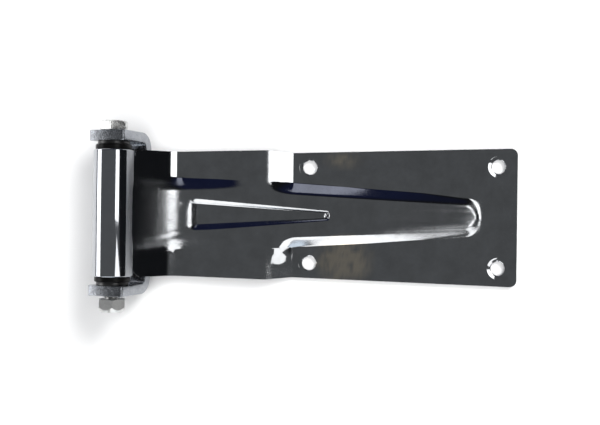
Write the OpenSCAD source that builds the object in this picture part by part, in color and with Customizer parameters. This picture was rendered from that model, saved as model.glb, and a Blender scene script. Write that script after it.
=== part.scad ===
// Rear-door hinge: a pressed steel blade bolts to the door, a barrel tube is welded to its raised end,
// and a bolt carries the barrel between the ears of a U-shaped bracket that is welded to the frame.
// X runs along the blade to its free end, Y along the pin, Z away from the door. The origin is midway
// between the two outer bolt holes, on the back face of the sheet.

/* [Blade outline] */
// Thickness of the pressed sheet
sheet_t = 4; // [3:0.5:5]
// Distance from the outer holes to the free end
end_margin = 15; // [11:1:25]
// Distance along the blade from the outer to the inner holes
hole_pitch = 150; // [140:5:180]
// Distance along the blade from the inner holes to the pin's axis
pin_reach = 150; // [145:1:160]
// Distance across the blade between the outer holes
outer_hole_gap = 81; // [70:1:88]
// Distance across the blade between the inner holes
inner_hole_gap = 76; // [70:1:80]
// Diameter of the bolt holes
hole_d = 11; // [8.5:0.5:13]
// Diameter of the shallow dimple round each hole
dimple_d = 17; // [14:0.5:18]
// Depth of that dimple
dimple_depth = 0.5; // [0.2:0.1:1]
// Width of the blade at its free end
free_end_w = 110.6; // [104:0.2:116]
// Width of the blade at the foot of the step
step_foot_w = 98.8; // [94:0.2:104]
// Width of the blade at the head of the step
step_head_w = 101.8; // [96:0.2:106]
// Width of the neck between the bend and the barrel
neck_w = 98; // [90:0.5:104]
// Corner radius at the free end
end_corner_r = 5.5; // [3:0.5:9]
// Corner radius at the barrel
neck_corner_r = 5; // [3:0.5:8]

/* [Blade profile] */
// Distance from the inner holes to the foot of the step
step_foot_reach = 13.5; // [10:0.5:18]
// Distance from the inner holes to the head of the step
step_head_reach = 35; // [30:0.5:42]
// Rise of the step
step_rise = 7.5; // [4:0.5:10]
// Fall of the flanges from the head of the step to the bend
flange_fall = 3.4; // [1:0.2:5]
// Distance from the pin's axis to the bend up to the barrel
neck_l = 43.3; // [38:0.1:50]
// Height over the pin's axis at which the line of the flanges' top passes it
flange_over_pin = 5; // [2:0.5:6]
// Length over which the foot of the step is rounded
step_foot_round = 3; // [2:0.5:6]
// Length over which the head of the step is rounded
step_head_round = 12; // [6:1:18]
// Length over which the flanges' bend is rounded
bend_round = 9; // [6:1:14]
// Length over which the crown's bend is rounded
crown_bend_round = 18; // [10:1:22]
// Distance by which the crown bends nearer the barrel than the flanges
crown_bend_lead = 4.3; // [2:0.5:8]

/* [Rib] */
// Width of the rib at the barrel
rib_w_barrel = 64; // [56:1:70]
// Width of the rib at the bend
rib_w_bend = 58; // [52:1:64]
// Width of the rib at the head of the step
rib_w_step = 54.5; // [50:0.5:60]
// Width of the rib at its free end
rib_w_end = 33; // [28:1:38]
// Width of each rib wall at the barrel
rib_run_barrel = 18; // [12:0.5:20]
// Width of each rib wall at the bend
rib_run_bend = 11.5; // [8:0.5:12]
// Width of each rib wall at the free end
rib_run_end = 10; // [8:0.5:11]
// Distance from the outer holes to the end of the rib
rib_end_reach = 14; // [10:1:20]
// Length of the rib's sloped end
rib_end_run = 11; // [8:0.5:16]
// Corner radius of the rib's end in plan
rib_end_corner_r = 9; // [5:0.5:12]
// Height of the crown over the sheet at the end of the rib
crown_h_end = 2.5; // [1.5:0.1:4]
// Height of the crown over the flanges at the bend
crown_h_bend = 6.1; // [4:0.1:7]
// Height of the crown over the pin's axis where it meets the barrel
crown_over_pin = 1.5; // [0:0.5:5]

/* [Recess in the crown] */
// Distance from the bend to the wide end of the recess
recess_setback = 7.5; // [6:0.1:16]
// Length of the recess
recess_l = 115.7; // [90:0.1:120]
// Width of the recess at its wide end
recess_w_wide = 32; // [24:0.5:33]
// Width of the recess at its tip
recess_w_tip = 8.5; // [6:0.5:12]
// Width of its side walls at the wide end
recess_run_wide = 7.4; // [4.5:0.1:8]
// Width of its side walls at the tip
recess_run_tip = 2.6; // [2:0.1:3]
// Depth at the wide end
recess_depth_wide = 3.6; // [2:0.1:5]
// Depth at the tip
recess_depth_tip = 1.8; // [1:0.1:3]
// Length of the end wall at the wide end
recess_end_run = 10.5; // [6:0.5:12]
// Length of the end wall at the tip
recess_tip_run = 3; // [2:0.5:5]

/* [Barrel and bushes] */
// Height of the pin's axis over the back of the sheet
pin_h = 34.3; // [32:0.1:38]
// Outer diameter of the barrel tube
barrel_d = 30; // [28:0.5:32]
// Length of the barrel tube
barrel_l = 96; // [90:1:98]
// Wall of the barrel tube
barrel_wall = 4; // [3:0.25:4.5]
// Chamfer at the ends of the barrel tube
barrel_chamfer = 0.6; // [0.3:0.1:1]
// Size of the weld under the blade
weld_r = 3.2; // [2:0.2:4]
// Diameter of the bush flanges
bush_flange_d = 27; // [25:0.5:29]
// Thickness of the bush flanges
bush_flange_t = 4; // [3:0.25:5]
// Length of each bush inside the tube
bush_sleeve_l = 18; // [12:1:30]
// Chamfer on the rim of the bush flanges
bush_chamfer = 0.5; // [0.2:0.1:1]
// Outer diameter of the thrust washers
washer_d = 24; // [22:0.5:26]
// Thickness of the thrust washers
washer_t = 2.5; // [1.5:0.1:3]
// Diameter of the hole in the thrust washers
washer_hole_d = 13; // [12.6:0.1:14]

/* [Bracket] */
// Width of the flat bar
bar_w = 30; // [25:1:32]
// Thickness of the flat bar
bar_t = 8; // [6:0.5:10]
// Distance from the pin's axis to the outer face of the web
web_reach = 31; // [29.5:0.5:33]
// Distance from the pin's axis to the ends of the ears
ear_reach = 11; // [10:0.5:14]
// Inside radius of the bends
bar_bend_r = 5; // [3:0.5:8]
// Corner radius at the ends of the ears
ear_corner_r = 2; // [1:0.5:4]
// Angle between the ears and the door's normal at rest
bracket_tilt = 20; // [18:0.5:24]

/* [Bolt and nut] */
// Diameter of the bolt's shank
bolt_d = 12; // [10:1:12]
// Width across flats of the head and the nut
hex_af = 19; // [17:1:19]
// Height of the bolt's head
head_h = 7.5; // [6:0.5:8]
// Angle by which the head is turned on its axis
head_turn = 2; // [0:1:30]
// Distance from the bracket to the nut
nut_gap = 2.5; // [1:0.25:4]
// Height of the nut
nut_h = 10; // [8:0.5:12]
// Angle by which the nut is turned on its axis
nut_turn = 12; // [0:1:30]
// Height of the nut's tapered crown
nut_crown_h = 4; // [2:0.5:5]
// Diameter of the end of the nut's tapered crown
nut_crown_d = 16.4; // [15:0.2:18]
// Distance by which the bolt ends inside the nut
bolt_end_depth = 0.6; // [0:0.1:2]
// Chamfer at the end of the bolt
bolt_chamfer = 1; // [0.5:0.1:1.5]

/* [Fits] */
// Running clearance, on the radius, of the bushes on the bolt
pin_clearance = 0.05; // [0.03:0.01:0.1]
// Play at each end of the barrel
end_play = 0.1; // [0.05:0.05:0.3]
// Clearance of the bolt in the ears, on the radius
ear_clearance = 0.25; // [0.1:0.05:0.5]
// Gap of the parts that are pressed or welded together
seat_gap = 0.02; // [0:0.01:0.05]

/* [Hidden] */
$fn = 96;
// By how much a cut runs past the solid that it cuts
overrun = 1;

// Places along X
end_x = end_margin;
inner_x = -hole_pitch;
pin_x = inner_x - pin_reach;
step_foot_x = inner_x - step_foot_reach;
step_head_x = inner_x - step_head_reach;
bend_x = pin_x + neck_l;
crown_bend_x = bend_x - crown_bend_lead;
rib_end_x = -rib_end_reach;
crown_end_x = rib_end_x - rib_end_run;
recess_x = bend_x + recess_setback;
recess_tip_x = recess_x + recess_l;

// Barrel, and where the blade meets it
barrel_r = barrel_d / 2;
neck_x = pin_x + barrel_r;
neck_floor_share = 0.6;
neck_deep_x = pin_x + barrel_r * neck_floor_share;

// Heights and slopes of the top face along the flanges
step_slope = step_rise / (step_foot_x - step_head_x);
fall_slope = flange_fall / (step_head_x - bend_x);
flange_bend_z = sheet_t + step_rise - flange_fall;
neck_slope = (pin_h + flange_over_pin - flange_bend_z) / neck_l;

// The same along the crown of the rib
crown_end_z = sheet_t + crown_h_end;
crown_bend_z = flange_bend_z + crown_h_bend;
crown_slope = (crown_bend_z - crown_end_z) / (crown_end_x - bend_x);
crown_neck_slope = (pin_h + crown_over_pin - crown_bend_z) / (crown_bend_x - neck_x);

// Bracket
bracket_gap = barrel_l + 2 * (bush_flange_t + end_play + washer_t);
bracket_w = bracket_gap + 2 * bar_t;
bush_bore_r = bolt_d / 2 + pin_clearance;
barrel_bore_r = barrel_r - barrel_wall;

// Bolt and nut
hex_r = hex_af / 2 / cos(30);
hex_past_r = hex_r + overrun;
head_chamfer_share = 0.1;
bolt_l = bracket_w + nut_gap + nut_h - bolt_end_depth;
nut_y = -bracket_w / 2 - nut_gap - nut_h;

// Shares of a wall's width at which its rounded profile is drawn, and of it what each rounding takes
wall_shares = [0, 0.12, 0.45, 0.72, 1];
wall_foot_share = 0.12;
wall_head_share = 0.5;
recess_shares = [0, 0.3, 0.85, 1];
recess_rim_share = 0.45;
recess_floor_share = 0.15;
// Share to which the recess's lines draw in past its two ends, up to the barrel and to the crown's end
past_end_share = 0.25;
corner_angles = [0, 30, 60, 90];
round_shares = [-0.5, -0.17, 0.17, 0.5];
end_shares = [0, 0.2, 0.4, 0.7, 1];
least_station_gap = sheet_t / 16;
slope_step = sheet_t / 20;

// Limits a value to a range
function within(v, low, high) = min(max(v, low), high);

// Height gained d past a bend where the slope grows by m, rounded over the length l
function bend(d, m, l) =
    d <= -l / 2 ? 0 :
    d >= l / 2 ? m * d :
    m * (d + l / 2) * (d + l / 2) / (2 * l);

// A wall's profile from 0 to 1, with its two ends rounded over shares of its width
function ease(s, first, last) =
    let (m = 1 / (1 - (first + last) / 2))
    s <= 0 ? 0 :
    s >= 1 ? 1 :
    s < first ? m * s * s / (2 * first) :
    s <= 1 - last ? m * (s - first / 2) :
    1 - m * (1 - s) * (1 - s) / (2 * last);

// Top face of the flanges and of the crown, along X
function flange_z(x) = sheet_t
    + bend(step_foot_x - x, step_slope, step_foot_round)
    - bend(step_head_x - x, step_slope + fall_slope, step_head_round)
    + bend(bend_x - x, fall_slope + neck_slope, bend_round);
function crown_z(x) = crown_end_z + crown_slope * (crown_end_x - x)
    + bend(crown_bend_x - x, crown_neck_slope - crown_slope, crown_bend_round);
function flange_slope(x) = (flange_z(x - slope_step) - flange_z(x + slope_step)) / (2 * slope_step);
function crown_slope_at(x) = (crown_z(x - slope_step) - crown_z(x + slope_step)) / (2 * slope_step);

// By how much a corner of radius r narrows the outline at the distance d from its end
function corner_cut(d, r) = d >= r ? 0 : r - sqrt(r * r - pow(r - max(d, 0), 2));

// Half widths along X: outline, rib, rib wall, recess and recess wall
function half_w(x) = lookup(x, [
        [bend_x, neck_w / 2],
        [step_head_x, step_head_w / 2],
        [step_foot_x, step_foot_w / 2],
        [end_x, free_end_w / 2]])
    - corner_cut(end_x - x, end_corner_r)
    - corner_cut(x - neck_x, neck_corner_r);
function rib_half(x) = lookup(x, [
        [neck_x, rib_w_barrel / 2],
        [bend_x, rib_w_bend / 2],
        [step_head_x, rib_w_step / 2],
        [rib_end_x, rib_w_end / 2]])
    - corner_cut(rib_end_x - x, rib_end_corner_r) / 2;
function rib_run(x) = lookup(x, [
        [neck_x, rib_run_barrel],
        [bend_x, rib_run_bend],
        [rib_end_x, rib_run_end]]);
function recess_half(x) = lookup(x, [
        [neck_x, recess_w_wide * past_end_share / 2],
        [recess_x, recess_w_wide / 2],
        [recess_tip_x, recess_w_tip / 2],
        [crown_end_x, recess_w_tip * past_end_share / 2]]);
function recess_run(x) = lookup(x, [
        [neck_x, recess_run_wide * past_end_share],
        [recess_x, recess_run_wide],
        [recess_tip_x, recess_run_tip],
        [crown_end_x, recess_run_tip * past_end_share]]);
function recess_depth(x) = lookup(x, [[recess_x, recess_depth_wide], [recess_tip_x, recess_depth_tip]])
    * ease((x - recess_x) / recess_end_run, recess_rim_share, recess_floor_share)
    * ease((recess_tip_x - x) / recess_tip_run, recess_rim_share, recess_floor_share);
function rib_height(x) = max(crown_z(x) - flange_z(x), 0)
    * ease((rib_end_x - x) / rib_end_run, wall_head_share, wall_head_share);

// Top face of one half of a cross-section from the outline to the middle, as [y, z, share of the crown,
// height of the lower flat beside it]
function half_section(x) =
    let (
        foot = rib_half(x),
        run = rib_run(x),
        rim = recess_half(x),
        low = flange_z(x),
        high = low + rib_height(x),
        depth = recess_depth(x))
    concat(
        [[half_w(x), low, 0, low]],
        [for (s = wall_shares)
            let (e = ease(s, wall_foot_share, wall_head_share))
            [foot - run * s, low + (high - low) * e, e, low]],
        [for (s = recess_shares)
            [rim - recess_run(x) * s, high - depth * ease(s, recess_rim_share, recess_floor_share), 1,
                high - depth]],
        [[0, high - depth, 1, high - depth]]);

// Both halves of the top face
function top_points(x) =
    let (half = half_section(x), n = len(half))
    concat(half, [for (i = [n - 2 : -1 : 0]) [-half[i].x, half[i].y, half[i].z, half[i][3]]]);

// The sheet's lower face, straight under the upper one by the thickness square to it, and nowhere lower
// than under the flat beside it
function under_points(x, top) = [for (i = [len(top) - 1 : -1 : 0])
    let (
        before = top[max(i - 1, 0)],
        after = top[min(i + 1, len(top) - 1)],
        across = (after.y - before.y) / (after.x - before.x),
        along = flange_slope(x) + (crown_slope_at(x) - flange_slope(x)) * top[i].z)
    [top[i].x, max(
        top[i].y - sheet_t * sqrt(1 + across * across + along * along),
        top[i][3] - sheet_t * sqrt(1 + along * along))]];

function section(x) =
    let (top = top_points(x))
    [for (p = concat([for (q = top) [q.x, q.y]], under_points(x, top))) [x, p.x, p.y]];

// A sorted list with no value twice
function sorted(v) = len(v) < 2 ? v :
    let (middle = v[floor(len(v) / 2)])
    concat(sorted([for (a = v) if (a < middle) a]), middle, sorted([for (a = v) if (a > middle) a]));

// Places along X at which the sheet's section is drawn
all_stations = sorted(concat(
    [neck_deep_x, neck_x - neck_corner_r, crown_end_x],
    [for (a = corner_angles) neck_x + neck_corner_r * (1 - sin(a))],
    [for (s = round_shares) crown_bend_x + crown_bend_round * s],
    [for (s = round_shares) bend_x + bend_round * s],
    [for (s = recess_shares) recess_x + recess_end_run * s],
    [for (s = round_shares) step_head_x + step_head_round * s],
    [for (s = round_shares) step_foot_x + step_foot_round * s],
    [for (s = recess_shares) recess_tip_x - recess_tip_run * s],
    [for (s = end_shares) rib_end_x - rib_end_run * s],
    [for (a = corner_angles) end_x - end_corner_r * (1 - sin(a))]));
stations = [for (i = [0 : len(all_stations) - 1])
    if (i == 0 || all_stations[i] - all_stations[i - 1] > least_station_gap) all_stations[i]];

// A solid skinned over sections with the same number of points: an upper face, then the lower one back
module skin(sections) {
    n = len(sections[0]);
    last = len(sections) - 1;
    points = [for (s = sections) for (p = s) p];
    sides = [for (j = [0 : last - 1]) for (i = [0 : n - 1])
        let (a = j * n + i, b = j * n + (i + 1) % n, c = b + n, d = a + n)
        for (f = [[a, b, c], [a, c, d]]) f];
    ends = [for (i = [0 : n / 2 - 2])
        let (a = i, b = i + 1, c = n - 2 - i, d = n - 1 - i, k = last * n)
        for (f = [[c, b, a], [d, c, a], [k + a, k + b, k + c], [k + a, k + c, k + d]]) f];
    polyhedron(points, concat(sides, ends), convexity = 8);
}

// A cylinder along Y on the pin's axis, from y0 to y1
module on_pin(r, y0, y1) {
    translate([pin_x, y1, pin_h])
        rotate([90, 0, 0])
            cylinder(r = r, h = y1 - y0);
}

// A turned ring along Y on the pin's axis, from a profile of radius and place
module turned_on_pin(profile) {
    translate([pin_x, 0, pin_h])
        rotate([-90, 0, 0])
            rotate_extrude()
                polygon(profile);
}

// Place along the pin at which the line through a and b, as [radius, place], has the radius r
function on_line(r, a, b) = a.y + (r - a.x) * (b.y - a.y) / (b.x - a.x);

// A bolt hole with its dimple, through the flat of the sheet
module bolt_hole(x, y) {
    hole_r = hole_d / 2;
    dimple_run = (dimple_d - hole_d) / 2;
    translate([x, y, 0])
        rotate_extrude()
            polygon([
                [0, -overrun], [hole_r, -overrun], [hole_r, sheet_t - dimple_depth],
                [dimple_d / 2 + dimple_run / 4, sheet_t + dimple_depth / 4], [0, sheet_t + dimple_depth / 4]]);
}

module hinge_blade() {
    color([0.27, 0.28, 0.29])
        difference() {
            skin([for (x = stations) section(x)]);
            on_pin(barrel_r + seat_gap, -neck_w, neck_w);
            for (side = [-1, 1]) {
                bolt_hole(0, side * outer_hole_gap / 2);
                bolt_hole(inner_x, side * inner_hole_gap / 2);
            }
        }
}

module barrel_tube() {
    half = barrel_l / 2;
    inner = barrel_bore_r;
    outer = barrel_r;
    cut = barrel_chamfer;
    color([0.45, 0.47, 0.48])
        turned_on_pin([
            [inner, -half], [outer - cut, -half], [outer, -half + cut],
            [outer, half - cut], [outer - cut, half], [inner, half]]);
}

// One straight run of weld in the corner under the blade, where its under face has the given slope
// and passes through the height z over the barrel's side
module weld_run(slope, z, y0, y1) {
    angle = atan(slope);
    // Distance of the under face from the pin's axis, and where it meets the barrel
    offset = (z - pin_h + slope * barrel_r) * cos(angle);
    along = sqrt(barrel_r * barrel_r - offset * offset);
    translate([pin_x, 0, pin_h])
        rotate([0, angle, 0])
            difference() {
                translate([along, y1, offset])
                    rotate([90, 0, 0])
                        cylinder(r = weld_r, h = y1 - y0, $fn = 32);
                translate([0, y1 + overrun, 0])
                    rotate([90, 0, 0])
                        cylinder(r = barrel_r + seat_gap, h = y1 - y0 + 2 * overrun);
                translate([0, y0 - overrun, offset - seat_gap])
                    cube([2 * barrel_d, y1 - y0 + 2 * overrun, barrel_d]);
            }
}

module barrel_weld() {
    flange_under_z = flange_z(neck_x) - sheet_t * sqrt(1 + neck_slope * neck_slope);
    crown_under_z = crown_z(neck_x) - sheet_t * sqrt(1 + crown_neck_slope * crown_neck_slope);
    crown_half = rib_w_barrel / 2 - rib_run_barrel - sheet_t;
    outer_y = neck_w / 2 - neck_corner_r;
    inner_y = rib_w_barrel / 2 + sheet_t;
    color([0.4, 0.41, 0.42]) {
        weld_run(neck_slope, flange_under_z, inner_y, outer_y);
        weld_run(neck_slope, flange_under_z, -outer_y, -inner_y);
        weld_run(crown_neck_slope, crown_under_z, -crown_half, crown_half);
    }
}

// A flanged bush at the upper end of the barrel
module bush() {
    seat = barrel_l / 2;
    rim = bush_flange_d / 2;
    cut = bush_chamfer;
    color([0.03, 0.03, 0.03])
        turned_on_pin([
            [bush_bore_r, seat - bush_sleeve_l], [barrel_bore_r - seat_gap - cut, seat - bush_sleeve_l],
            [barrel_bore_r - seat_gap, seat - bush_sleeve_l + cut], [barrel_bore_r - seat_gap, seat],
            [rim - cut, seat], [rim, seat + cut],
            [rim, seat + bush_flange_t - cut], [rim - cut, seat + bush_flange_t],
            [bush_bore_r, seat + bush_flange_t]]);
}

module bush_upper() {
    bush();
}

module bush_lower() {
    mirror([0, 1, 0])
        bush();
}

// A thrust washer against the upper ear
module washer() {
    color([0.25, 0.25, 0.26])
        difference() {
            on_pin(washer_d / 2, bracket_gap / 2 - washer_t, bracket_gap / 2);
            on_pin(washer_hole_d / 2, bracket_gap / 2 - washer_t - overrun, bracket_gap / 2 + overrun);
        }
}

module washer_upper() {
    washer();
}

module washer_lower() {
    mirror([0, 1, 0])
        washer();
}

// A trough of the given half width and depth under the pin's axis, open upwards, with round corners
module trough(half, depth, r, top) {
    translate([-half, r - depth])
        square([2 * half, top + depth - r]);
    translate([r - half, -depth])
        square([2 * (half - r), r + overrun]);
    for (side = [-1, 1])
        translate([side * (half - r), r - depth])
            circle(r = r);
}

// The ears' side view: square at the web, with two round corners at the free end
module ear_shape() {
    r = ear_corner_r;
    translate([-bar_w / 2, -web_reach - overrun])
        square([bar_w, web_reach + ear_reach - r + overrun]);
    translate([r - bar_w / 2, 0])
        square([bar_w - 2 * r, ear_reach]);
    for (side = [-1, 1])
        translate([side * (bar_w / 2 - r), ear_reach - r])
            circle(r = r);
}

module hinge_bracket() {
    color([0.68, 0.69, 0.71])
        difference() {
            translate([pin_x, 0, pin_h])
                rotate([0, -bracket_tilt, 0])
                    intersection() {
                        translate([-bar_w / 2, 0, 0])
                            rotate([90, 0, 90])
                                linear_extrude(height = bar_w)
                                    difference() {
                                        trough(bracket_w / 2, web_reach, bar_bend_r + bar_t, ear_reach);
                                        trough(bracket_gap / 2, web_reach - bar_t, bar_bend_r,
                                            ear_reach + overrun);
                                    }
                        translate([0, bracket_w / 2 + overrun, 0])
                            rotate([90, 0, 0])
                                linear_extrude(height = bracket_w + 2 * overrun)
                                    ear_shape();
                    }
            on_pin(bolt_d / 2 + ear_clearance, -bracket_w / 2 - overrun, bracket_w / 2 + overrun);
        }
}

module pin_bolt() {
    under_head = bracket_w / 2;
    top = under_head + head_h;
    tip = under_head - bolt_l;
    cut = head_h * head_chamfer_share;
    color([0.75, 0.77, 0.75]) {
        turned_on_pin([
            [0, under_head + cut], [bolt_d / 2, under_head + cut],
            [bolt_d / 2, tip + bolt_chamfer], [bolt_d / 2 - bolt_chamfer, tip], [0, tip]]);
        intersection() {
            translate([pin_x, under_head, pin_h])
                rotate([0, head_turn, 0])
                    rotate([-90, 90, 0])
                        cylinder(r = hex_r, h = head_h + overrun, $fn = 6);
            turned_on_pin([
                [0, under_head - overrun], [hex_past_r, under_head - overrun],
                [hex_past_r, on_line(hex_past_r, [hex_af / 2 - cut, top], [hex_r, top - 2 * cut])],
                [hex_af / 2 - cut, top], [0, top]]);
        }
    }
}

module lock_nut() {
    inner_end = nut_y + nut_h;
    cut = nut_h * head_chamfer_share;
    color([0.72, 0.74, 0.72])
        difference() {
            intersection() {
                translate([pin_x, nut_y - overrun, pin_h])
                    rotate([0, nut_turn, 0])
                        rotate([-90, 90, 0])
                            cylinder(r = hex_r, h = nut_h + 2 * overrun, $fn = 6);
                turned_on_pin([
                    [0, nut_y], [nut_crown_d / 2, nut_y],
                    [hex_past_r, on_line(hex_past_r, [nut_crown_d / 2, nut_y], [hex_r, nut_y + nut_crown_h])],
                    [hex_past_r, on_line(hex_past_r, [hex_af / 2, inner_end], [hex_r, inner_end - cut])],
                    [hex_af / 2, inner_end], [0, inner_end]]);
            }
            on_pin(bolt_d / 2 + seat_gap, nut_y - overrun, inner_end + overrun);
        }
}

hinge_blade();
barrel_tube();
barrel_weld();
bush_upper();
bush_lower();
washer_upper();
washer_lower();
hinge_bracket();
pin_bolt();
lock_nut();
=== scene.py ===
"""Rear-door hinge: the looks. Lengths are in millimetres until a piece is finished, then in metres."""
import math

import bmesh
import bpy
from mathutils import Matrix, Vector, noise

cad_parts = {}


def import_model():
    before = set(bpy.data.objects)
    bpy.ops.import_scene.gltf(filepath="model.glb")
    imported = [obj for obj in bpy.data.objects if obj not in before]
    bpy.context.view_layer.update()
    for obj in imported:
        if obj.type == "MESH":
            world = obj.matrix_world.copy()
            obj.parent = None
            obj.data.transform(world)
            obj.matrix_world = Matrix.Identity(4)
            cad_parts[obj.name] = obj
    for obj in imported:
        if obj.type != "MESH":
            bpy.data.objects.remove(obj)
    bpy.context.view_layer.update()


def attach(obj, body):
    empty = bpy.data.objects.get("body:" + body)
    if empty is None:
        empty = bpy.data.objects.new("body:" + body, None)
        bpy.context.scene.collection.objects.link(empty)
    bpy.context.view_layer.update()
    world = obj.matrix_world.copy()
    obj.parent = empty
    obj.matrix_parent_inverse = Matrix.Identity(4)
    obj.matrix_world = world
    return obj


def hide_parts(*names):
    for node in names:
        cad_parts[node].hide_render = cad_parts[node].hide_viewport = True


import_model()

MM = 0.001

# Places along the blade, as in the part's source
END_X = 15.0
OUTER_HOLES = (0.0, 40.5)
INNER_HOLES = (-150.0, 38.0)
PIN_X, PIN_H = -300.0, 34.3
STEP_FOOT_X, STEP_HEAD_X = -163.5, -185.0
BEND_X, CROWN_BEND_X = -256.7, -261.0
RIB_END_X, CROWN_END_X = -14.0, -25.0
RECESS_X, RECESS_TIP_X = -249.2, -133.5
PIT_X, PIT_R, PIT_DEPTH = -136.6, 2.6, 0.7

# Sheet and heights
SHEET_T = 4.0
HOLE_R = 5.5
CORNER_R, NECK_CORNER_R = 5.5, 5.0
RECESS_END_RUN, RECESS_TIP_RUN = 10.5, 3.0
STEP_RISE, FLANGE_FALL = 7.5, 3.4
FLANGE_OVER_PIN = 5.0
FLANGE_BEND_Z = SHEET_T + STEP_RISE - FLANGE_FALL
CROWN_END_Z = SHEET_T + 2.5
CROWN_BEND_Z = FLANGE_BEND_Z + 6.1
CROWN_OVER_PIN = 1.5
BARREL_R, BARREL_HALF, BARREL_BORE_R = 15.0, 48.0, 11.0
BARREL_CHAMFER = 0.6
NECK_X = PIN_X + BARREL_R

# Low forms that the press leaves: a hollow along the crown's end, a swelling by the step's foot and a
# dent by the recess's wide end
HOLLOW_X, HOLLOW_RUN, HOLLOW_HALF, HOLLOW_SHARE = -112.0, 58.0, 10.0, 0.36
SWELLING_X, SWELLING_Y, SWELLING_R, SWELLING_H = -173.0, -26.0, 15.0, 1.3
DENT_X, DENT_Y, DENT_R, DENT_NARROWING, DENT_DEPTH = -248.0, 8.0, 5.0, 1.3, 0.35

STEP_SLOPE = STEP_RISE / (STEP_FOOT_X - STEP_HEAD_X)
FALL_SLOPE = FLANGE_FALL / (STEP_HEAD_X - BEND_X)
NECK_SLOPE = (PIN_H + FLANGE_OVER_PIN - FLANGE_BEND_Z) / (BEND_X - PIN_X)
CROWN_SLOPE = (CROWN_BEND_Z - CROWN_END_Z) / (CROWN_END_X - BEND_X)
CROWN_NECK_SLOPE = (PIN_H + CROWN_OVER_PIN - CROWN_BEND_Z) / (CROWN_BEND_X - NECK_X)

# Bushes and washers, from the pin outwards and along it
BUSH_BORE_R, BUSH_R, BUSH_START_Y = 6.05, 10.9, 30.0
FLANGE_R, FLANGE_END_Y, FLANGE_CHAMFER = 13.5, 52.0, 0.5
WASHER_BORE_R, WASHER_R, WASHER_START_Y, WASHER_END_Y = 6.5, 12.0, 52.1, 54.58

# Bracket, bolt and nut
BRACKET_GAP_HALF, BAR_T, BAR_W = 54.6, 8.0, 30.0
BRACKET_HALF = BRACKET_GAP_HALF + BAR_T
WEB_REACH, EAR_REACH, BAR_BEND_R = 31.0, 11.0, 5.0
BRACKET_TILT = 20.0
EAR_CORNER_R, BAR_EDGE_R = 2.0, 0.7
HEX_AF = 19.0
HEAD_H, HEAD_TURN, HEAD_TOP_R, HEAD_CONE = 7.5, 2.0, 8.75, -0.6
HEAD_FACE_R, HEAD_FACE_H = 8.9, 0.4
NUT_GAP, NUT_H, NUT_TURN, NUT_CROWN_H, NUT_CROWN_R = 2.5, 10.0, 12.0, 4.0, 8.2
NUT_FACE_R, NUT_CONE = 9.5, -0.68
BOLT_R, BOLT_HOLE_R, BOLT_TIP_Y, BOLT_NECK_Y = 6.0, 6.25, -74.5, -55.0
THREAD_PITCH, THREAD_DEPTH, THREAD_TURNS, THREAD_STEPS = 1.75, 0.8, 10, 48
HEX_EDGE_R, NUT_EDGE_R = 0.25, 0.3

# Weld, and where its runs lie along the pin
WELD_R, WELD_RIPPLE, WELD_STEP = 3.1, 1.7, 0.4
FLANGE_WELD, CROWN_WELD = (36, 44), (-16, 16)

# Mesh of the sheet, and how far a cutter passes what it cuts
MESH_STEP = 1.3
OVERRUN = 12.0
BARREL_SEAM = 0.3

# Camera, in metres and degrees
CAMERA_AT, CAMERA_TURN = (-0.1578, 0.0022, 0.7), 0.74
CAMERA_LENS, CAMERA_SENSOR = 52.5, 36.0


def lookup(x, table):
    """Straight lines between the pairs of a table, level past its ends."""
    if x <= table[0][0]:
        return table[0][1]
    for (xa, a), (xb, b) in zip(table, table[1:]):
        if x <= xb:
            return a + (b - a) * (x - xa) / (xb - xa)
    return table[-1][1]


def bend(d, slope, length):
    """Height gained d past a bend to the given slope, rounded over the length."""
    if d <= -length / 2:
        return 0.0
    if d >= length / 2:
        return slope * d
    return slope * (d + length / 2) ** 2 / (2 * length)


def ease(s, first, last):
    """A wall's profile from 0 to 1, its two ends rounded over shares of its width."""
    m = 1 / (1 - (first + last) / 2)
    if s <= 0:
        return 0.0
    if s >= 1:
        return 1.0
    if s < first:
        return m * s * s / (2 * first)
    if s <= 1 - last:
        return m * (s - first / 2)
    return 1 - m * (1 - s) ** 2 / (2 * last)


def soft(s):
    """The same, rounded all the way."""
    return ease(s, 0.5, 0.5)


def both(a, b):
    """The lesser of two shares, turning a round corner where both are under 1."""
    a, b = min(a, 1.0), min(b, 1.0)
    return 1 - math.hypot(1 - a, 1 - b)


def corner_cut(d, r):
    """By how much a corner of radius r narrows the outline at the distance d from its end."""
    return 0.0 if d >= r else r - math.sqrt(r * r - (r - max(d, 0.0)) ** 2)


def flange_z(x):
    return (SHEET_T + bend(STEP_FOOT_X - x, STEP_SLOPE, 2.4)
            - bend(STEP_HEAD_X - x, STEP_SLOPE + FALL_SLOPE, 12)
            + bend(BEND_X - x, FALL_SLOPE + NECK_SLOPE, 17))


def crown_z(x):
    return (CROWN_END_Z + CROWN_SLOPE * (CROWN_END_X - x)
            + bend(CROWN_BEND_X - x, CROWN_NECK_SLOPE - CROWN_SLOPE, 30))


def half_w(x):
    return (lookup(x, [(BEND_X, 49), (STEP_HEAD_X, 50.9), (STEP_FOOT_X, 49.4), (END_X, 55.3)])
            - corner_cut(END_X - x, CORNER_R) - corner_cut(x - NECK_X, NECK_CORNER_R))


def rib_half(x):
    return lookup(x, [(NECK_X, 32), (BEND_X, 29), (STEP_HEAD_X, 27.25), (RIB_END_X, 16.5)])


def rib_run(x):
    return lookup(x, [(NECK_X, 18), (BEND_X, 11.5), (RIB_END_X, 10)])


def wall_run(x, y):
    """Length over which the wall curves. Before the step the front wall is the gentler one."""
    middle = [(BEND_X, 12.5)] if y > 0 else [(BEND_X - 16, 14), (BEND_X + 12, 19)]
    return lookup(x, [(NECK_X, 18), *middle, (STEP_HEAD_X, 12), (STEP_FOOT_X, 10.9), (RIB_END_X, 10)])


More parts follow.
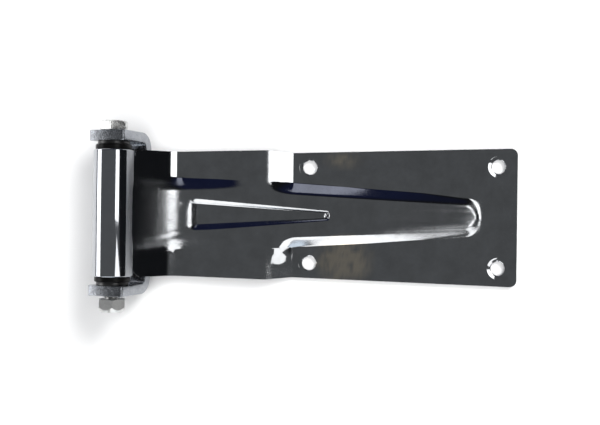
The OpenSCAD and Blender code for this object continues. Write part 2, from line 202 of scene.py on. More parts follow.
def recess_half(x):
    return lookup(x, [(NECK_X, 4), (RECESS_X, 16), (RECESS_TIP_X, 4.25), (CROWN_END_X, 1.1)])


def recess_run(x):
    return lookup(x, [(NECK_X, 1.8), (RECESS_X, 7.4), (RECESS_TIP_X, 2.6), (CROWN_END_X, 0.6)])


def recess_depth(x):
    return lookup(x, [(RECESS_X, 3.6), (RECESS_TIP_X, 1.8)])


def head_share(x):
    """Share of a wall's run over which it turns into the crown: more of it before the step."""
    return lookup(x, [(STEP_HEAD_X - 6, 0.55), (STEP_FOOT_X, 0.42)])


def top_z(x, y):
    """Height of the sheet's upper face."""
    low = flange_z(x)
    rise = max(crown_z(x) - low, 0.0)
    end_run = lookup(abs(y), [(1, 5), (9, 12)])
    wall = both((rib_half(x) - abs(y)) / wall_run(x, y), (RIB_END_X - x) / end_run)
    foot_share = lookup(x, [(STEP_FOOT_X, 0.05), (-60, 0.1), (-30, 0.4)])
    # The crown sinks along its middle towards its end
    sunk = HOLLOW_SHARE * soft((x - HOLLOW_X) / HOLLOW_RUN) * (1 - soft(abs(y) / HOLLOW_HALF))
    z = low + rise * (1 - sunk) * ease(wall, foot_share, head_share(x))
    side = (recess_half(x) - abs(y)) / recess_run(x)
    ends = both((x - RECESS_X) / RECESS_END_RUN, (RECESS_TIP_X - x) / RECESS_TIP_RUN)
    z -= recess_depth(x) * ease(both(side, ends), 0.7, 0.06)
    z += SWELLING_H * (1 - soft(math.hypot(x - SWELLING_X, y - SWELLING_Y) / SWELLING_R))
    z -= DENT_DEPTH * (1 - soft(math.hypot(x - DENT_X, (y - DENT_Y) * DENT_NARROWING) / DENT_R))
    # The small round pit that the recess ends in
    pit = math.hypot(x - PIT_X, y) / PIT_R
    return z - PIT_DEPTH * (1 - ease(pit, 0.4, 0.4))


def under_z(x, y):
    """Height of the lower face: the sheet's thickness, square to the upper face."""
    d = 0.25
    across = (top_z(x, y + d) - top_z(x, y - d)) / (2 * d)
    along = (top_z(x + d, y) - top_z(x - d, y)) / (2 * d)
    z = top_z(x, y) - SHEET_T * math.sqrt(1 + across * across + along * along)
    flat = (flange_z(x + d) - flange_z(x - d)) / (2 * d)
    return max(z, flange_z(x) - SHEET_T * math.sqrt(1 + flat * flat))


def stations():
    """Places along X for the sheet's mesh, close together at its corners and creases."""
    start = NECK_X - 6
    xs = [start + MESH_STEP * i for i in range(int((END_X - start) / MESH_STEP))]
    for centre, reach, gap in ((STEP_FOOT_X, 3, 0.4), (STEP_HEAD_X, 7, 0.7), (BEND_X, 9, 0.7),
                               (RECESS_X + 8, 4, 0.5), (RECESS_TIP_X - 2.5, 4, 0.35),
                               (CROWN_BEND_X, 5, 0.9)):
        xs = [x for x in xs if abs(x - centre) > reach]
        xs += [centre - reach + gap * i for i in range(int(2 * reach / gap) + 1)]
    arc = [1 - math.sin(math.radians(a)) for a in range(0, 91, 9)]
    xs = [x for x in xs if x < END_X - CORNER_R and not NECK_X <= x <= NECK_X + NECK_CORNER_R]
    xs += [END_X - CORNER_R * a for a in arc]
    xs += [NECK_X + NECK_CORNER_R * a for a in arc]
    xs.sort()
    kept = xs[:1]
    for x in xs[1:]:
        if x - kept[-1] > 0.04:
            kept.append(x)
    return kept


def shares(n):
    return [i / n for i in range(n)]


WALL_SHARES = [0, 0.04, 0.08, 0.12, 0.18, 0.25, 0.33, 0.42, 0.5, 0.58, 0.66, 0.74, 0.82, 0.9, 0.96]
RECESS_SHARES = [0, 0.08, 0.16, 0.25, 0.35, 0.45, 0.56, 0.67, 0.78, 0.86, 0.92, 0.97]


def rows(x):
    """Places across the sheet at x, from the outline to the middle."""
    foot, run, rim, wide = rib_half(x), rib_run(x), recess_half(x), half_w(x)
    head, flat = foot - run, rim - recess_run(x)
    return ([wide + (foot - wide) * s for s in shares(7)]
            + [foot - run * s for s in WALL_SHARES]
            + [head + (rim - head) * s for s in shares(5)]
            + [rim - recess_run(x) * s for s in RECESS_SHARES]
            + [flat * (1 - s) for s in shares(3)] + [0.0])


def add(tree, kind, settings=None, inputs=None):
    """Adds a node with its settings; an input is a value or another node's output."""
    n = tree.nodes.new(kind)
    for key, value in (settings or {}).items():
        setattr(n, key, value)
    for key, value in (inputs or {}).items():
        if isinstance(value, bpy.types.NodeSocket):
            tree.links.new(value, n.inputs[key])
        else:
            n.inputs[key].default_value = value
    return n


def linear(hex_colour):
    """An sRGB hex colour as linear RGBA."""
    parts = [int(hex_colour[i:i + 2], 16) / 255 for i in (1, 3, 5)]
    return [c / 12.92 if c <= 0.04045 else ((c + 0.055) / 1.055) ** 2.4 for c in parts] + [1.0]


def finished(name, bm, material, body, node, crease=35):
    """Turns a mesh in millimetres into a piece in metres that stands for a CAD node."""
    bmesh.ops.scale(bm, vec=(MM, MM, MM), verts=bm.verts)
    mesh = bpy.data.meshes.new(name)
    bm.to_mesh(mesh)
    bm.free()
    mesh.shade_smooth()
    mesh.set_sharp_from_angle(angle=math.radians(crease))
    mesh.materials.append(material)
    obj = bpy.data.objects.new(name, mesh)
    bpy.context.scene.collection.objects.link(obj)
    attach(obj, body)
    if node:
        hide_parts(node)
    return obj


def soften(bm, offset, least=30, segments=2, only=None):
    """Rounds every edge that turns by more than the least angle."""
    edges = [e for e in bm.edges if len(e.link_faces) == 2
             and e.calc_face_angle(0) > math.radians(least) and (only is None or only(e))]
    bmesh.ops.bevel(bm, geom=edges, offset=offset, offset_type="OFFSET", segments=segments, profile=0.5,
                    affect="EDGES", material=-1, clamp_overlap=True)


def ringed(rings, steps=128, closed=True):
    """A solid about the pin: each ring is (radius, place along the pin), either of them a function of
    the angle. The last ring joins the first, or both ends are capped."""
    bm = bmesh.new()
    bmesh.ops.create_circle(bm, cap_ends=False, radius=1, segments=steps,
                            matrix=Matrix.Rotation(math.pi / 2, 4, "X"))
    verts, edges = list(bm.verts), list(bm.edges)
    first = None
    for radius, place in rings:
        for v in verts:
            a = math.atan2(v.co.z, v.co.x)
            r = radius(a) if callable(radius) else radius
            y = place(a) if callable(place) else place
            v.co = (r * math.cos(a), y, r * math.sin(a))
        if first is None:
            first = edges
        if (radius, place) != rings[-1]:
            geom = bmesh.ops.extrude_edge_only(bm, edges=edges)["geom"]
            verts = [g for g in geom if isinstance(g, bmesh.types.BMVert)]
            new = set(verts)
            edges = [g for g in geom if isinstance(g, bmesh.types.BMEdge) and new.issuperset(g.verts)]
    if closed:
        bmesh.ops.bridge_loops(bm, edges=first + edges)
    else:
        bmesh.ops.holes_fill(bm, edges=[e for e in bm.edges if e.is_boundary], sides=0)
    bmesh.ops.recalc_face_normals(bm, faces=bm.faces)
    return bm


def turned(bm, degrees):
    """Turns a solid about the Y axis."""
    bmesh.ops.rotate(bm, verts=bm.verts, cent=(0, 0, 0),
                     matrix=Matrix.Rotation(math.radians(degrees), 3, "Y"))


def onto_pin(bm):
    """Moves a solid from the origin to the pin."""
    bmesh.ops.translate(bm, verts=bm.verts, vec=(PIN_X, 0, PIN_H))
    return bm


def merged(*meshes):
    """One mesh of several."""
    bm = bmesh.new()
    for one in meshes:
        part = bpy.data.meshes.new("part")
        one.to_mesh(part)
        one.free()
        bm.from_mesh(part)
        bpy.data.meshes.remove(part)
    return bm


def cut(obj, cutters):
    """Takes the cutters' solids out of the piece's mesh."""
    bmesh.ops.scale(cutters, vec=(MM, MM, MM), verts=cutters.verts)
    mesh = bpy.data.meshes.new("cutter")
    cutters.to_mesh(mesh)
    cutters.free()
    tool = bpy.data.objects.new("cutter", mesh)
    bpy.context.scene.collection.objects.link(tool)
    mod = obj.modifiers.new("cut", "BOOLEAN")
    mod.operation, mod.object, mod.solver = "DIFFERENCE", tool, "EXACT"
    mod.use_self = mod.use_hole_tolerant = True
    ready = obj.evaluated_get(bpy.context.evaluated_depsgraph_get())
    new = bpy.data.meshes.new_from_object(ready)
    obj.modifiers.clear()
    old, name = obj.data, obj.data.name
    obj.data = new
    bpy.data.meshes.remove(old)
    new.name = name
    bpy.data.objects.remove(tool)
    bpy.data.meshes.remove(mesh)


# Finishes

STAIN_COLOUR, STAIN_ROUGH = "#F6E8D0", 0.16
# Share of the grain that shows where the sheet isn't worked
FLAT_GRAIN = 0.04


def metal(name, colour, dark, rough, bump, spots, worked_rough=0.0):
    """Zinc on steel: a colour that clouds over to a darker one in spots of a size in mm, roughness
    between two values, and a bump as (size in mm, height in mm) pairs. Where the piece is worked, it is
    rougher and its grain is stronger. Where it is stained, it is warmer and a little rougher."""
    mat = bpy.data.materials.new(name)
    mat.use_nodes = True
    tree = mat.node_tree
    shader = tree.nodes["Principled BSDF"]
    where = add(tree, "ShaderNodeTexCoord").outputs["Object"]
    clouds = add(tree, "ShaderNodeTexNoise", None,
                 {"Vector": where, "Scale": 1 / (spots * MM), "Detail": 6.0, "Roughness": 0.6})
    mixed = add(tree, "ShaderNodeMix", {"data_type": "RGBA"},
                {0: clouds.outputs["Fac"], 6: linear(colour), 7: linear(dark)})
    base = mixed.outputs[2]
    if worked_rough:
        stain = add(tree, "ShaderNodeAttribute", {"attribute_name": "stained"}).outputs["Fac"]
        base = add(tree, "ShaderNodeMix", {"data_type": "RGBA"},
                   {0: stain, 6: base, 7: linear(STAIN_COLOUR)}).outputs[2]
    tree.links.new(base, shader.inputs["Base Color"])
    shader.inputs["Metallic"].default_value = 1.0
    patches = add(tree, "ShaderNodeTexNoise", None,
                  {"Vector": where, "Scale": 1 / (spots * 0.4 * MM), "Detail": 8.0, "Roughness": 0.7})
    roughness = add(tree, "ShaderNodeMapRange", None,
                    {"Value": patches.outputs["Fac"], "From Min": 0.35, "From Max": 0.65,
                     "To Min": rough[0], "To Max": rough[1]}).outputs["Result"]
    strength = 1.0
    if worked_rough:
        amount = add(tree, "ShaderNodeAttribute", {"attribute_name": "worked"}).outputs["Fac"]
        roughness = add(tree, "ShaderNodeMath", {"operation": "MULTIPLY_ADD"},
                        {0: amount, 1: worked_rough, 2: roughness}).outputs[0]
        roughness = add(tree, "ShaderNodeMath", {"operation": "MULTIPLY_ADD"},
                        {0: stain, 1: STAIN_ROUGH, 2: roughness}).outputs[0]
        strength = add(tree, "ShaderNodeMath", {"operation": "MULTIPLY_ADD", "use_clamp": True},
                       {0: amount, 1: 1 - FLAT_GRAIN, 2: FLAT_GRAIN}).outputs[0]
    tree.links.new(roughness, shader.inputs["Roughness"])
    normal = None
    for size, height in bump:
        waves = add(tree, "ShaderNodeTexNoise", None,
                    {"Vector": where, "Scale": 1 / (size * MM), "Detail": 3.0, "Roughness": 0.55})
        step = add(tree, "ShaderNodeBump", None,
                   {"Strength": strength, "Distance": height * MM, "Height": waves.outputs["Fac"]})
        if normal:
            tree.links.new(normal, step.inputs["Normal"])
        normal = step.outputs["Normal"]
    if normal:
        tree.links.new(normal, shader.inputs["Normal"])
    return mat


# Bright zinc on pressed sheet: a near mirror that mottles where the press has stretched it
SHEET_ZINC = metal("bright_zinc_on_pressed_sheet", "#C4C6C9", "#9B9C9D", (0.045, 0.065),
                   [(7, 0.12), (0.9, 0.11)], 14, worked_rough=0.22)
# The same plating on drawn tube
TUBE_ZINC = metal("bright_zinc_on_drawn_tube", "#C2C4C8", "#B0B2B6", (0.06, 0.1), [(0.8, 0.05)], 10,
                  worked_rough=0.42)
# A weld bead under the plating
WELD_ZINC = metal("zinc_on_weld_bead", "#A6A6A4", "#7E7B76", (0.25, 0.4), [(1.2, 0.05)], 4)
# Zinc on thin washers, a little dull, its colour painted dark grey to stand for the shade they sit in between
# bush and ear
SHADE_DARKENED_WASHER_ZINC = metal("washer_zinc_painted_with_shade", "#565656", "#3C3C3C", (0.3, 0.45), [(1, 0.01)], 3)
# Satin zinc on rolled flat bar: clouded mid grey, with a fine grain
BAR_ZINC = metal("satin_zinc_on_flat_bar", "#B4B7BC", "#74777C", (0.17, 0.3),
                 [(0.9, 0.09), (4, 0.12)], 4)
# Pale zinc on forged fasteners, mottled white and grey
BOLT_ZINC = metal("pale_zinc_on_fasteners", "#E6E6E5", "#A6A6A4", (0.2, 0.36), [(1.3, 0.16)], 3)
# Matt zinc on the nut: pale and even
NUT_ZINC = metal("matt_zinc_on_nut", "#EEEEEC", "#BEBEBC", (0.42, 0.55), [(1.3, 0.05)], 3)


def black_plastic():
    """Moulded acetal: black, with a low sheen."""
    mat = bpy.data.materials.new("black_moulded_acetal")
    mat.use_nodes = True
    tree = mat.node_tree
    shader = tree.nodes["Principled BSDF"]
    shader.inputs["Base Color"].default_value = linear("#080808")
    shader.inputs["Specular IOR Level"].default_value = 0.12
    where = add(tree, "ShaderNodeTexCoord").outputs["Object"]
    grain = add(tree, "ShaderNodeTexNoise", None,
                {"Vector": where, "Scale": 1 / (0.8 * MM), "Detail": 3.0})
    roughness = add(tree, "ShaderNodeMapRange", None,
                    {"Value": grain.outputs["Fac"], "To Min": 0.22, "To Max": 0.4})
    tree.links.new(roughness.outputs["Result"], shader.inputs["Roughness"])
    step = add(tree, "ShaderNodeBump", None,
               {"Strength": 1.0, "Distance": 0.01 * MM, "Height": grain.outputs["Fac"]})
    tree.links.new(step.outputs["Normal"], shader.inputs["Normal"])
    return mat


BUSH_BLACK = black_plastic()


# Pressed blade


def band(distance, half):
    """A share that falls from 1 in the middle of a band to 0 at its edges."""
    return 1 - min(abs(distance) / half, 1)


def worked(x, y):
    """How much the press has stretched and dulled the sheet: most on the neck's crown."""
    crown = soft((rib_half(x) - abs(y)) / 7)
    crown *= lookup(x, [(-284, 0.3), (-276, 0.75), (-268, 0.98), (-260, 0.6), (-248, 0.42), (-215, 0.2),
                        (-60, 0.1), (-30, 0.25), (-20, 0.7), (-10, 0)])
    wall = band(-y - rib_half(x) + 7, 8)
    wall *= lookup(x, [(-115, 0), (-80, 1), (-30, 1), (-12, 0)])
    along_recess = RECESS_X - 4 < x < RECESS_TIP_X
    rim = 0.45 * band(y - recess_half(x) + 1, 4) if along_recess else 0.0
    wide_end = 0.5 * band(x - RECESS_X - 2, 6) if abs(y) < 18 else 0.0
    step = 0.3 * band(x - STEP_HEAD_X - 1, 6)
    return max(crown, wall, rim, wide_end, step)


def stained(x, y):
    """A stain past the lower inner hole, and a fainter one past the upper."""
    lower = band(math.hypot(x + 122, (y + 36) * 1.1), 26)
    upper = 0.5 * band(math.hypot(x + 124, (y - 44) * 2), 18)
    coarse = noise.noise(Vector((x / 6, y / 6, 0)))
    fine = noise.noise(Vector((x / 2.2, y / 2.2, 3)))
    patchy = 1 + 1.1 * coarse + 0.7 * fine
    return max(0.0, min(0.7, 1.1 * max(lower, upper) * patchy))


def pressed_blade():
    """The sheet: a grid set to the upper face, thickened to the lower one, then cut for the barrel and
    the bolts."""
    xs = stations()
    across = len(rows(0.0)) - 1
    bm = bmesh.new()
    bmesh.ops.create_grid(bm, x_segments=len(xs) - 1, y_segments=2 * across, size=0.5)
    cached = {}
    for v in bm.verts:
        i = round((v.co.x + 0.5) * (len(xs) - 1))
        j = round(v.co.y * 2 * across)
        x = xs[i]
        if i not in cached:
            cached[i] = rows(x)
        y = cached[i][across - abs(j)] * (1 if j > 0 else -1)
        v.co = (x, y, top_z(x, y))
    upper = bmesh.ops.extrude_face_region(bm, geom=bm.faces[:])["geom"]
    for v in upper:
        if isinstance(v, bmesh.types.BMVert):
            v.co.z = under_z(v.co.x, v.co.y)
    bmesh.ops.recalc_face_normals(bm, faces=bm.faces)
    soften(bm, 0.7, least=60, segments=3)
    obj = finished("pressed_blade", bm, SHEET_ZINC, "blade", "hinge_blade", 30)
    holes = [hole_cutter(x, side * y) for x, y in (OUTER_HOLES, INNER_HOLES) for side in (-1, 1)]
    reach = BARREL_HALF + OVERRUN
    barrel = onto_pin(ringed([(BARREL_R - BARREL_SEAM, -reach), (BARREL_R - BARREL_SEAM, reach)],
                             closed=False))
    cut(obj, merged(*holes, barrel))
    obj.data.shade_smooth()
    obj.data.set_sharp_from_angle(angle=math.radians(12))
    for amount in (worked, stained):
        layer = obj.data.attributes.new(amount.__name__, "FLOAT", "POINT")
        layer.data.foreach_set("value", [amount(v.co.x / MM, v.co.y / MM) for v in obj.data.vertices])
    return obj


def hole_cutter(x, y):
    """A bolt hole that is dished round its wavy rim."""
    def rim(extra):
        return lambda a: HOLE_R + extra * (1 + 0.5 * math.sin(4 * a + 0.6) + 0.3 * math.sin(7 * a))

    # Radius, and height over the sheet's face
    profile = [(HOLE_R, -SHEET_T - 2), (HOLE_R, -1.0), (rim(0.2), -0.6), (rim(0.55), -0.34), (7.2, -0.19),
               (8.5, -0.03), (8.9, 0.06), (8.9, 3)]
    bm = ringed([(r, SHEET_T + h) for r, h in profile], 64, closed=False)
    bmesh.ops.rotate(bm, verts=bm.verts, cent=(0, 0, 0), matrix=Matrix.Rotation(math.pi / 2, 3, "X"))
    bmesh.ops.translate(bm, verts=bm.verts, vec=(x, y, 0))
    return bm


pressed_blade()


# Barrel, bushes and washers


def drawn_tube():
    """The barrel: a tube with chamfered ends."""
    rounded_r, rounded_y = BARREL_R - BARREL_CHAMFER, BARREL_HALF - BARREL_CHAMFER
    bm = ringed([(BARREL_BORE_R, -BARREL_HALF), (rounded_r, -BARREL_HALF), (BARREL_R, -rounded_y),
                 (BARREL_R, rounded_y), (rounded_r, BARREL_HALF), (BARREL_BORE_R, BARREL_HALF)])
    soften(onto_pin(bm), 0.12, least=20)
    tube = finished("barrel_tube_turned", bm, TUBE_ZINC, "blade", "barrel_tube")
    # Its flank over the blade is dull from the welding
    dull = []
    for v in tube.data.vertices:
        angle = math.degrees(math.atan2(v.co.x / MM - PIN_X, v.co.z / MM - PIN_H))
        dull.append(soft((angle - 50) / 6) if angle < 130 else 0.0)
    tube.data.attributes.new("worked", "FLOAT", "POINT").data.foreach_set("value", dull)


def moulded_bush(name, side):
    """A bush that fits the tube's bore, with a flange on the tube's end."""
    lip = FLANGE_R - FLANGE_CHAMFER
    profile = [(BUSH_BORE_R, BUSH_START_Y), (BUSH_R, BUSH_START_Y), (BUSH_R + 0.08, BARREL_HALF),
               (lip, BARREL_HALF + 0.02), (FLANGE_R, BARREL_HALF + FLANGE_CHAMFER),
               (FLANGE_R, FLANGE_END_Y - FLANGE_CHAMFER), (lip, FLANGE_END_Y), (BUSH_BORE_R, FLANGE_END_Y)]
    bm = onto_pin(ringed([(r, side * y) for r, y in profile]))
    soften(bm, 0.2, least=20)
    finished(name + "_moulded", bm, BUSH_BLACK, "blade", name)


def punched_washer(name, side):
    """A flat washer between a bush and an ear."""
    profile = [(WASHER_BORE_R, WASHER_START_Y), (WASHER_R, WASHER_START_Y), (WASHER_R, WASHER_END_Y),
               (WASHER_BORE_R, WASHER_END_Y)]
    bm = onto_pin(ringed([(r, side * y) for r, y in profile]))
    soften(bm, 0.25, least=60)
    # The washer's dark colour is painted shade for the gap between bush and ear
    finished(name + "_punched", bm, SHADE_DARKENED_WASHER_ZINC, "bracket", name)


drawn_tube()
moulded_bush("bush_upper", 1)
moulded_bush("bush_lower", -1)
punched_washer("washer_upper", 1)
punched_washer("washer_lower", -1)


# Bracket: flat bar, bent twice


def bent_bracket():
    """The bar's section, drawn down one ear, round under the barrel and up the other."""
    bm = bmesh.new()
    outer, inner = BRACKET_HALF, BRACKET_GAP_HALF
    bmesh.ops.create_grid(bm, x_segments=1, y_segments=1, size=0.5)
    bmesh.ops.scale(bm, vec=(BAR_W, BAR_T, 1), verts=bm.verts)
    bmesh.ops.translate(bm, vec=(0, (outer + inner) / 2, EAR_REACH), verts=bm.verts)
    face = bm.faces[:]

    def run(vec):
        nonlocal face
        geom = bmesh.ops.extrude_face_region(bm, geom=face)["geom"]
        bmesh.ops.translate(bm, vec=vec, verts=[g for g in geom if isinstance(g, bmesh.types.BMVert)])
        bmesh.ops.delete(bm, geom=[f for f in face if len(bm.faces) > 6], context="FACES_ONLY")
        face = [g for g in geom if isinstance(g, bmesh.types.BMFace)]

    def turn(y):
        nonlocal face
        steps = 14
        for _ in range(steps):
            geom = bmesh.ops.extrude_face_region(bm, geom=face)["geom"]
            bmesh.ops.rotate(bm, verts=[g for g in geom if isinstance(g, bmesh.types.BMVert)],
                             cent=(0, y, BAR_BEND_R + BAR_T - WEB_REACH),
                             matrix=Matrix.Rotation(-math.pi / 2 / steps, 3, "X"))
            bmesh.ops.delete(bm, geom=face, context="FACES_ONLY")
            face = [g for g in geom if isinstance(g, bmesh.types.BMFace)]

    drop = EAR_REACH + WEB_REACH - BAR_BEND_R - BAR_T
    run((0, 0, -drop))
    turn(inner - BAR_BEND_R)
    run((0, -2 * (inner - BAR_BEND_R), 0))
    turn(BAR_BEND_R - inner)
    run((0, 0, drop))
    bmesh.ops.recalc_face_normals(bm, faces=bm.faces)

    def at_ear_corner(edge):
        a, b = (v.co for v in edge.verts)
        return abs(a.z - EAR_REACH) < 0.01 and abs(b.z - EAR_REACH) < 0.01 and abs(a.x - b.x) < 0.01

    soften(bm, EAR_CORNER_R, least=60, segments=4, only=at_ear_corner)
    soften(bm, BAR_EDGE_R, least=45, segments=3)
    turned(bm, -BRACKET_TILT)
    obj = finished("bracket_bent_bar", onto_pin(bm), BAR_ZINC, "bracket", "hinge_bracket", 30)
    reach = BRACKET_HALF + OVERRUN
    cut(obj, onto_pin(ringed([(BOLT_HOLE_R, -reach), (BOLT_HOLE_R, reach)], 96, closed=False)))
    obj.data.shade_smooth()
    obj.data.set_sharp_from_angle(angle=math.radians(30))
    return obj


bent_bracket()


# Bolt and nut


def hexagon(a):
    """Radius, at an angle from the X axis, of the hexagon that stands with a corner up."""
    return HEX_AF / 2 / math.cos(((a + math.pi / 6) % (math.pi / 3)) - math.pi / 6)


def on_cone(start_r, start_y, slope):
    """Place where the hexagon meets a cone."""
    return lambda a: start_y + slope * (hexagon(a) - start_r)


def thread(r, depth, y0, turns):
    """A ridge wound on a core, one pitch a turn, with its ends closed."""
    bm = bmesh.new()
    profile = [(r - depth - 0.1, 0.05), (r - depth, 0.2), (r - 0.12, 0.78), (r - 0.12, 0.97),
               (r - depth, 1.55), (r - depth - 0.1, 1.7)]
    verts = [bm.verts.new((a, y0 + b, 0)) for a, b in profile]
    edges = [bm.edges.new((verts[i], verts[(i + 1) % len(verts)])) for i in range(len(verts))]
    bmesh.ops.spin(bm, geom=verts + edges, cent=(0, 0, 0), axis=(0, 1, 0), angle=2 * math.pi * turns,
                   dvec=(0, THREAD_PITCH / THREAD_STEPS, 0), steps=THREAD_STEPS * turns, use_merge=False)
    bmesh.ops.holes_fill(bm, edges=[e for e in bm.edges if e.is_boundary], sides=0)
    bmesh.ops.recalc_face_normals(bm, faces=bm.faces)
    return bm


def forged_bolt():
    """The pin: a hexagon head with a rounded top, a plain shank and a threaded end."""
    top = BRACKET_HALF + HEAD_H
    head = ringed([(HEAD_FACE_R, BRACKET_HALF + 0.02), (HEAD_FACE_R + 0.3, BRACKET_HALF + HEAD_FACE_H - 0.05),
                   (hexagon, BRACKET_HALF + HEAD_FACE_H), (hexagon, on_cone(HEAD_TOP_R, top, HEAD_CONE)),
                   (HEAD_TOP_R, top)], 96, closed=False)
    soften(head, HEX_EDGE_R, least=14)
    turned(head, HEAD_TURN)
    core_r = BOLT_R - 0.9
    shank = ringed([(BOLT_R, BRACKET_HALF + 0.5), (BOLT_R, BOLT_NECK_Y), (core_r, BOLT_NECK_Y - 1),
                    (core_r, BOLT_TIP_Y + 0.3), (core_r - 0.5, BOLT_TIP_Y)], 96, closed=False)
    ridge = thread(BOLT_R, THREAD_DEPTH, BOLT_TIP_Y + 0.2, THREAD_TURNS)
    finished("pin_bolt_forged", onto_pin(merged(head, shank, ridge)), BOLT_ZINC, "bracket", "pin_bolt")


def crowned_nut():
    """A lock nut whose lower end tapers to a crown."""
    top = -BRACKET_HALF - NUT_GAP
    end = top - NUT_H
    crown_slope = NUT_CROWN_H / (HEX_AF / 2 / math.cos(math.pi / 6) - NUT_CROWN_R)
    bore_r, mouth_r, mouth_h = BOLT_R + 0.02, BOLT_R + 0.7, 0.8
    nut = ringed([(bore_r, end + mouth_h), (mouth_r, end), (NUT_CROWN_R, end),
                  (hexagon, on_cone(NUT_CROWN_R, end, crown_slope)),
                  (hexagon, on_cone(NUT_FACE_R, top, NUT_CONE)), (NUT_FACE_R, top),
                  (mouth_r, top), (bore_r, top - mouth_h)], 96)
    soften(nut, NUT_EDGE_R, least=14)
    turned(nut, NUT_TURN)
    finished("lock_nut_crowned", onto_pin(nut), NUT_ZINC, "bracket", "lock_nut")


forged_bolt()
crowned_nut()


# Weld on the hidden side


def weld_run(slope, z, y0, y1):
    """A rippled bead in the corner under the blade."""
    angle = math.atan(slope)
    offset = (z - PIN_H + slope * BARREL_R) * math.cos(angle)
    along = math.sqrt(BARREL_R ** 2 - offset ** 2)
    x = along * math.cos(angle) + offset * math.sin(angle)
    height = offset * math.cos(angle) - along * math.sin(angle)
    n = int((y1 - y0) / WELD_STEP)

    def radius(i):
        end = min(i, n - i) / 5
        ripple = 1 + 0.05 * math.sin(i * WELD_STEP / WELD_RIPPLE * 2 * math.pi)
        return WELD_R * math.sqrt(min(1, 0.2 + end)) * ripple

    bm = ringed([(radius(i), y0 + (y1 - y0) * i / n) for i in range(n + 1)], 24, closed=False)
    bmesh.ops.translate(bm, vec=(PIN_X + x, 0, PIN_H + height), verts=bm.verts)
    return bm


def welds():
    """One run under each flange and one under the crown."""
    flange_under = flange_z(NECK_X) - SHEET_T * math.sqrt(1 + NECK_SLOPE ** 2)
    crown_under = crown_z(NECK_X) - SHEET_T * math.sqrt(1 + CROWN_NECK_SLOPE ** 2)
    near, far = FLANGE_WELD
    bead = merged(weld_run(NECK_SLOPE, flange_under, near, far),
                  weld_run(NECK_SLOPE, flange_under, -far, -near),
                  weld_run(CROWN_NECK_SLOPE, crown_under, *CROWN_WELD))
    finished("barrel_weld_bead", bead, WELD_ZINC, "blade", "barrel_weld", 60)


welds()


# Floor, light and camera


def floor():
    """A round white table under the hinge."""
    bm = bmesh.new()
    bmesh.ops.create_circle(bm, cap_ends=True, radius=0.42, segments=96)
    mesh = bpy.data.meshes.new("floor")
    bm.to_mesh(mesh)
    bm.free()
    mat = bpy.data.materials.new("white_table")
    mat.use_nodes = True
    shader = mat.node_tree.nodes["Principled BSDF"]
    shader.inputs["Base Color"].default_value = linear("#F4F4F4")
    shader.inputs["Roughness"].default_value = 0.9
    shader.inputs["Specular IOR Level"].default_value = 0.1
    mesh.materials.append(mat)
    obj = bpy.data.objects.new("floor", mesh)
    bpy.context.scene.collection.objects.link(obj)
    obj.location = (-0.15, 0, -0.0002)


def softbox(name, centre, size, facing, radiance, colour=(1, 1, 1), glossy=True, diffuse=True, turn=0.0):
    """A flat light, placed in metres. Radiance is what a mirror would show of it."""
    data = bpy.data.lights.new(name, "AREA")
    data.shape = "RECTANGLE"
    data.size, data.size_y = size
    data.energy = radiance * math.pi * size[0] * size[1]
    data.color = colour
    obj = bpy.data.objects.new(name, data)
    bpy.context.scene.collection.objects.link(obj)
    obj.location = centre
    aim = Vector(facing).to_track_quat("-Z", "Y").to_matrix()
    obj.rotation_euler = (aim @ Matrix.Rotation(math.radians(turn), 3, "Z")).to_euler()
    obj.visible_camera = False
    obj.visible_glossy = glossy
    obj.visible_diffuse = diffuse


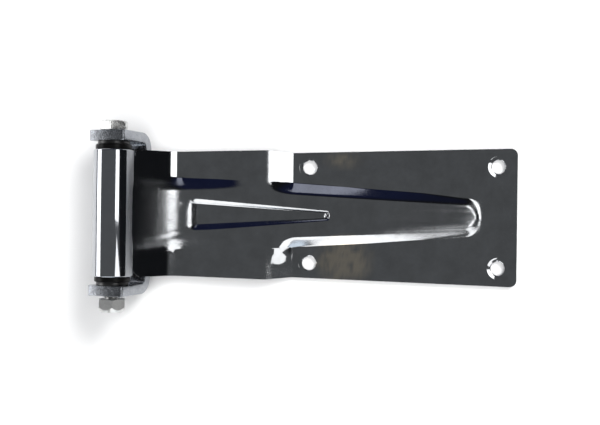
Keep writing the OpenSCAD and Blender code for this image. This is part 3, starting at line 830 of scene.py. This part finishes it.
def world():
    """A dim grey ceiling over the hinge that falls off to dark sides, and a white backdrop for the
    camera."""
    made = bpy.data.worlds.new("studio")
    bpy.context.scene.world = made
    made.use_nodes = True
    tree = made.node_tree
    tree.nodes.clear()
    way = add(tree, "ShaderNodeTexCoord").outputs["Generated"]
    parts = add(tree, "ShaderNodeSeparateXYZ", None, {0: way})
    # The ceiling reaches further down to the left and to the front, and less far behind
    left = add(tree, "ShaderNodeMath", {"operation": "MINIMUM"}, {0: parts.outputs["X"], 1: 0.0})
    front = add(tree, "ShaderNodeMath", {"operation": "MINIMUM"}, {0: parts.outputs["Y"], 1: 0.0})
    reach = add(tree, "ShaderNodeMath", {"operation": "MULTIPLY_ADD"},
                {0: left.outputs[0], 1: -0.4, 2: parts.outputs["Z"]})
    reach = add(tree, "ShaderNodeMath", {"operation": "MULTIPLY_ADD"},
                {0: front.outputs[0], 1: -0.35, 2: reach.outputs[0]})
    rear = add(tree, "ShaderNodeMath", {"operation": "MAXIMUM"}, {0: parts.outputs["Y"], 1: 0.0})
    reach = add(tree, "ShaderNodeMath", {"operation": "MULTIPLY_ADD"},
                {0: rear.outputs[0], 1: -0.45, 2: reach.outputs[0]})
    ceiling = add(tree, "ShaderNodeMapRange", {"interpolation_type": "SMOOTHSTEP"},
                  {"Value": reach.outputs[0], "From Min": 0.62, "From Max": 0.75,
                   "To Min": 0.0, "To Max": 1.0})
    behind = add(tree, "ShaderNodeMath", {"operation": "MULTIPLY_ADD"},
                 {0: parts.outputs["X"], 1: -1.1, 2: parts.outputs["Y"]})
    blue = add(tree, "ShaderNodeMapRange", {"interpolation_type": "SMOOTHSTEP"},
               {"Value": behind.outputs[0], "From Min": 0.25, "From Max": 0.7,
                "To Min": 0.0, "To Max": 1.0})
    # The sides are nearly black, and dark blue behind
    side = add(tree, "ShaderNodeMix", {"data_type": "RGBA"},
               {0: blue.outputs["Result"], 6: (0.012, 0.013, 0.015, 1), 7: (0.013, 0.017, 0.048, 1)})
    room = add(tree, "ShaderNodeMix", {"data_type": "RGBA"},
               {0: ceiling.outputs["Result"], 6: side.outputs[2], 7: (0.125, 0.13, 0.135, 1)})
    seen = add(tree, "ShaderNodeLightPath").outputs["Is Camera Ray"]
    colour = add(tree, "ShaderNodeMix", {"data_type": "RGBA"},
                 {0: seen, 6: room.outputs[2], 7: (1.0, 1.0, 1.0, 1)})
    back = add(tree, "ShaderNodeBackground", None, {"Color": colour.outputs[2], "Strength": 1.0})
    add(tree, "ShaderNodeOutputWorld", None, {"Surface": back.outputs[0]})


def camera():
    data = bpy.data.cameras.new("camera")
    data.lens, data.sensor_width = CAMERA_LENS, CAMERA_SENSOR
    data.clip_start, data.clip_end = 0.01, 100
    obj = bpy.data.objects.new("camera", data)
    bpy.context.scene.collection.objects.link(obj)
    obj.location = CAMERA_AT
    obj.rotation_euler = (0, 0, math.radians(CAMERA_TURN))
    bpy.context.scene.camera = obj


floor()
# What shows in the metal: a box high on the right, one at the right front corner, a box and a low card
# in front, a box on the left and a dim low card behind
softbox("box_right", (1.8, 0.62, 3.0), (1.5, 1.54), (0, 0, -1), 3.0, turn=-3)
softbox("box_corner", (0.95, -0.75, 1.35), (0.7, 1.1), (-1.1, 0.8, -1.35), 2.0, diffuse=False)
softbox("box_front", (-0.15, -1.5, 0.7), (2.3, 0.84), (0, 1, 0), 2.2, diffuse=False)
softbox("card_front", (-0.15, -1.6, 0.08), (2.3, 0.36), (0, 1, 0), 1.6, (0.8, 0.9, 1.0), diffuse=False)
softbox("box_left", (-1.8, 0.0, 0.4), (1.6, 0.8), (1, 0, 0), 3.0, diffuse=False)
softbox("card_back", (-0.04, 1.6, 0.5), (0.34, 0.66), (0, -1, 0), 0.5, (0.84, 0.87, 1.0), diffuse=False)
# What lights the table: a key from the upper right and a fill
softbox("table_key", (0.95, 1.45, 1.9), (1.0, 1.0), (-1.1, -1.45, -1.9), 15.0, glossy=False)
softbox("table_fill", (-0.5, -0.4, 2.4), (2.4, 2.4), (0.35, 0.4, -2.4), 2.9, glossy=False)
world()
camera()
bpy.context.scene.view_settings.view_transform = "Standard"
